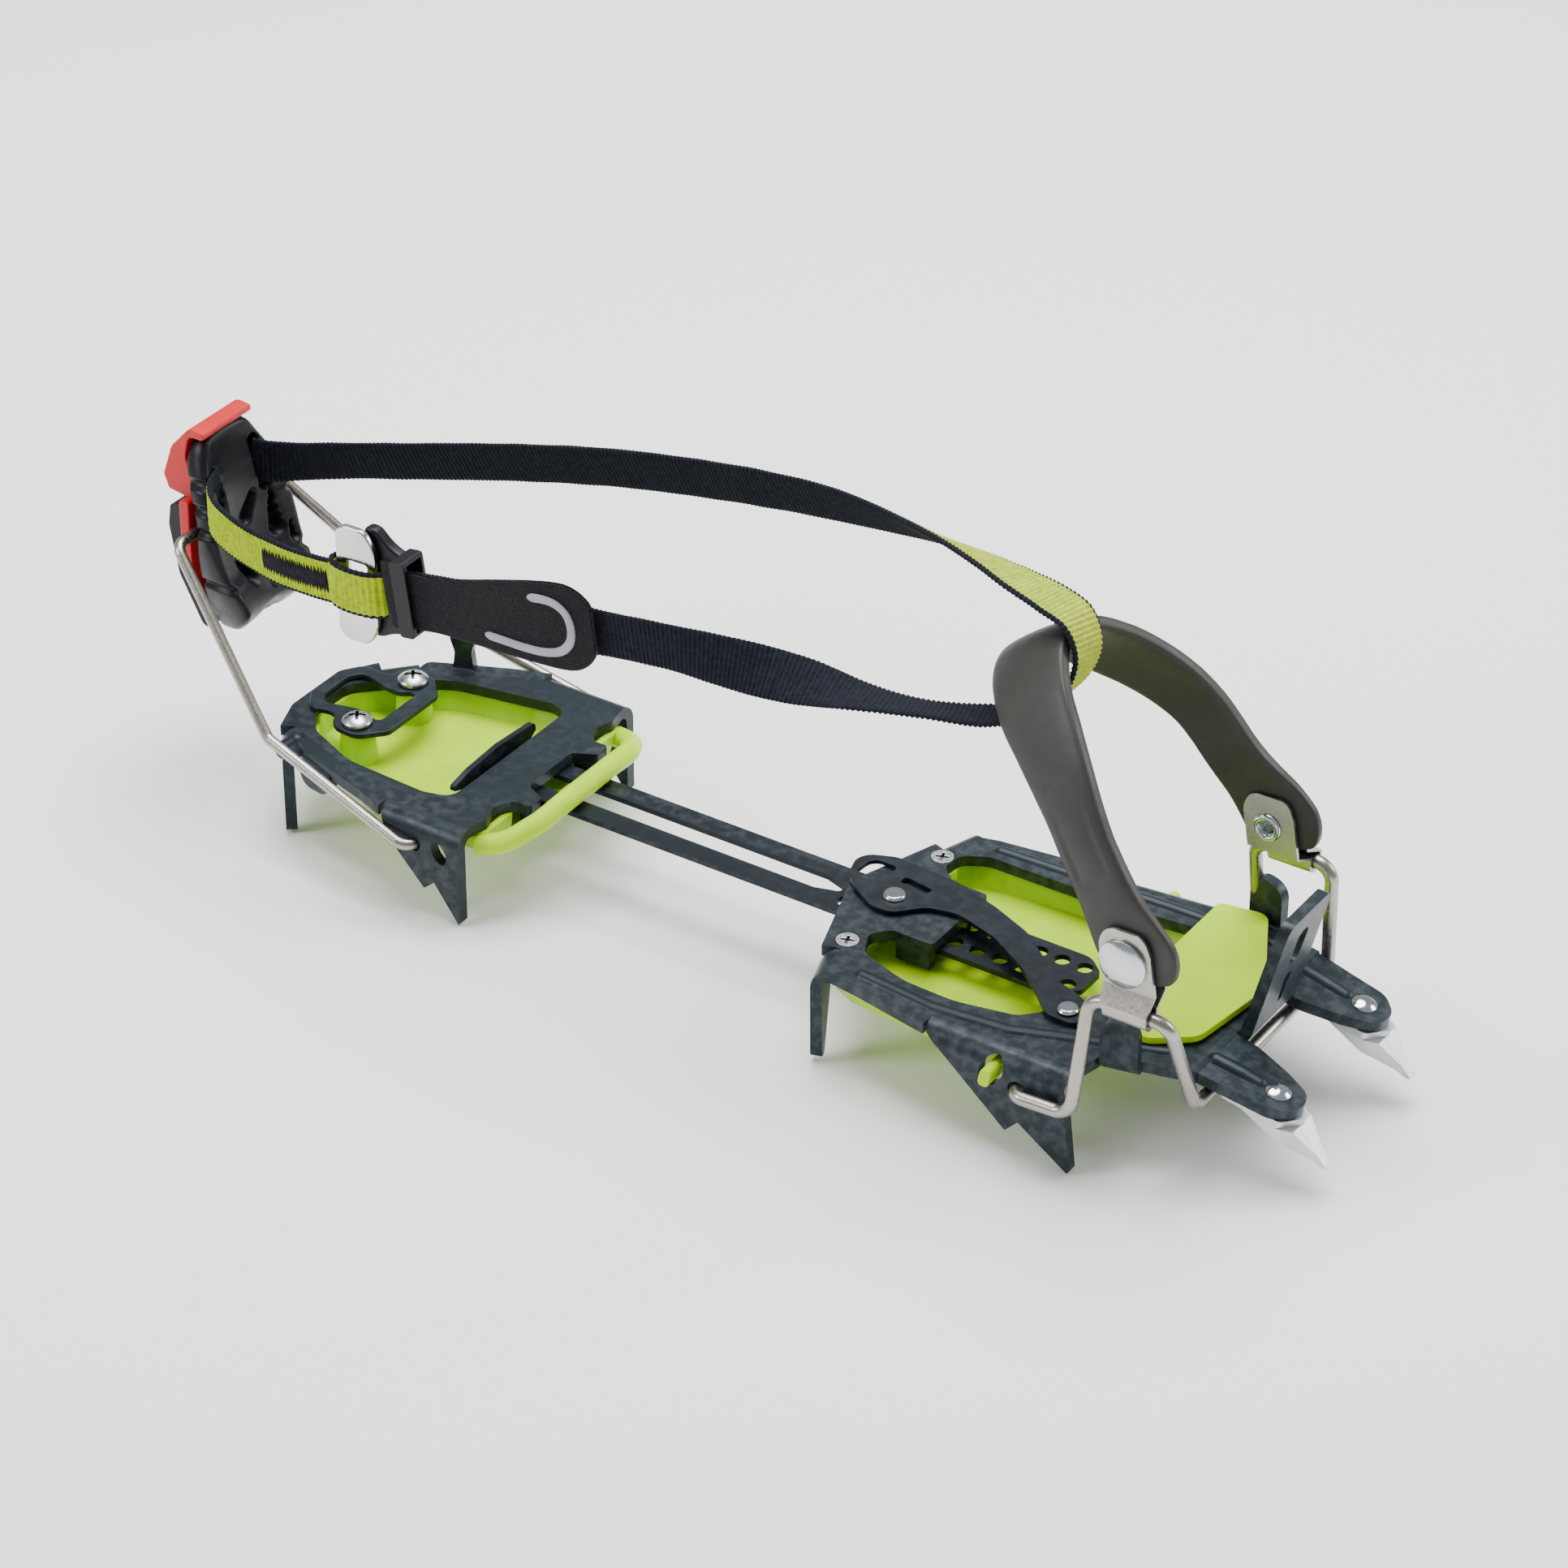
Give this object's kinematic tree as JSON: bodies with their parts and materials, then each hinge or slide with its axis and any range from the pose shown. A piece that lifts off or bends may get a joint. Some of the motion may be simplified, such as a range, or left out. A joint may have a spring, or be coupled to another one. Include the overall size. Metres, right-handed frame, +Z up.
{
  "type": "crampon",
  "caption": "Strap-on mountaineering crampon in two plates on a length-adjusting bar, with toe band, wire toe and heel bails, heel lever, webbing and buckle.",
  "frame": {"origin": "centre of the bounding box in plan, at the level of the point ends on the ground", "axes": "+X from the heel to the toe, +Y to the wearer's left, +Z up"},
  "size_m": [0.3484, 0.0939, 0.1311],
  "materials": {
    "plate": "satin dark anodised",
    "anti_balling": "translucent yellow-green, satin",
    "wire": "drawn stainless wire",
    "steel_tip": "bare forged steel",
    "zinc": "zinc plated",
    "rivet": "polished",
    "band": "matt moulded elastomer",
    "bar": "dark anodised strip",
    "lever_black": "black nylon",
    "red": "red nylon",
    "webbing": "ribbed polyamide webbing, yellow-green inside",
    "webbing_yellow": "ribbed polyamide webbing",
    "buckle_silver": "satin pressed",
    "buckle_black": "black coated",
    "tab": "textured matt rubber"
  },
  "bodies": {
    "front_section": {"front_plate": "plate", "front_anti_balling_plate": "anti_balling", "front_plate_screws": "zinc", "point_tip_right": "steel_tip", "point_tip_left": "steel_tip", "point_tip_rivets": "rivet", "toe_bail": "wire", "toe_clip_right": "zinc", "toe_clip_left": "zinc", "band_snap_right": "rivet", "band_snap_left": "rivet", "lock_leaf_rivet": "rivet", "long_strap": "webbing"},
    "lock_lever": {"lock_leaf": "bar", "lock_pegs": "rivet"},
    "band": {"toe_band": "band"},
    "heel_section": {"link_bar": "bar", "rear_plate": "plate", "rear_anti_balling_plate": "anti_balling", "retainer_frame": "plate", "retainer_screws": "zinc"},
    "heel_wire": {"heel_bail": "wire"},
    "lever": {"heel_lever": "lever_black", "lever_guard": "lever_black", "lever_spine": "red"},
    "buckle": {"webbing_loop": "webbing_yellow", "metal_buckle_ring": "buckle_silver", "black_buckle_ring": "buckle_black", "strap_keeper": "lever_black", "pull_tab": "tab", "short_strap": "webbing_yellow"}
  },
  "joints": [
    {"name": "lock_lift", "type": "hinge", "parent": "front_section", "child": "lock_lever", "pos_m": [0.1067, -0.0202, 0.0274], "axis": [0, 1, 0], "range_deg": [0, 2.4]},
    {"name": "length_adjust", "type": "slide", "parent": "front_section", "child": "heel_section", "axis": [1, 0, 0], "range_m": [-0.0512, 0.0128], "deforming": ["lock_pegs", "long_strap", "short_strap"]},
    {"name": "heel_bail_swing", "type": "hinge", "parent": "heel_section", "child": "heel_wire", "pos_m": [-0.0739, -0.0007, 0.0198], "axis": [0, 1, 0], "range_deg": [0, 25], "deforming": ["long_strap", "short_strap"]},
    {"name": "heel_lever_swing", "type": "hinge", "parent": "heel_wire", "child": "lever", "pos_m": [-0.16045, -0.0007, 0.0705], "axis": [0, 1, 0], "range_deg": [-70, 0], "deforming": ["long_strap", "short_strap"]},
    {"name": "strap_tighten", "type": "slide", "parent": "heel_section", "child": "buckle", "axis": [1, 0, 0], "range_m": [0, 0.03], "deforming": ["long_strap", "short_strap"]},
    {"name": "toe_band_swing", "type": "hinge", "parent": "front_section", "child": "band", "pos_m": [0.1315, -0.0007, 0.063], "axis": [0, 1, 0], "range_deg": [0, 20], "deforming": ["long_strap"]}
  ]
}
